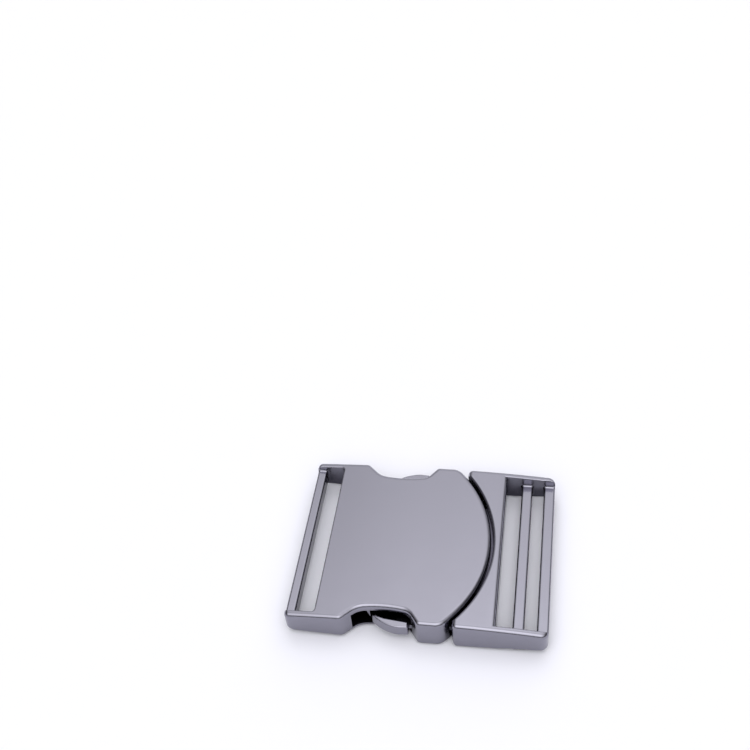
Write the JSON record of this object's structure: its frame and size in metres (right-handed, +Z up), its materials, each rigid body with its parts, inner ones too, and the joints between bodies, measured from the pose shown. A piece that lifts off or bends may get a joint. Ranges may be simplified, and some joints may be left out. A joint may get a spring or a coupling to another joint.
{
  "type": "side-release buckle",
  "caption": "Closed side-release buckle of cast metal with crowned faces: a web slot at one end, a strap-adjusting ladder at the other, and squeeze latches in side notches.",
  "frame": {"origin": "middle of the footprint, at the height of the lowest line of the belly", "axes": "+X from the socket's web slot to the plug's ladder, +Y across the strap, +Z up through the thickness"},
  "size_m": [0.0536, 0.041, 0.0074],
  "materials": {
    "plated_casting": "smooth dark gunmetal plating, satin gloss, a little paler on worn edges",
    "plated_latch": "smooth dark gunmetal plating, satin gloss",
    "pin_steel": "plain ground steel"
  },
  "bodies": {
    "buckle": {"socket_shell": "plated_casting", "ladder_frame": "plated_casting", "near_pivot_pin": "pin_steel", "far_pivot_pin": "pin_steel"},
    "near_lever": {"near_latch": "plated_latch"},
    "far_lever": {"far_latch": "plated_latch"}
  },
  "joints": [
    {"name": "near_latch_squeeze", "type": "hinge", "parent": "buckle", "child": "near_lever", "pos_m": [0.0124, -0.0156, 0.00355], "axis": [0, 0, -1], "range_deg": [0, 7], "stiffness_Nm_per_rad": 0.5},
    {"name": "far_latch_squeeze", "type": "hinge", "parent": "buckle", "child": "far_lever", "pos_m": [0.0124, 0.0156, 0.00355], "axis": [0, 0, 1], "range_deg": [0, 7], "stiffness_Nm_per_rad": 0.5}
  ]
}
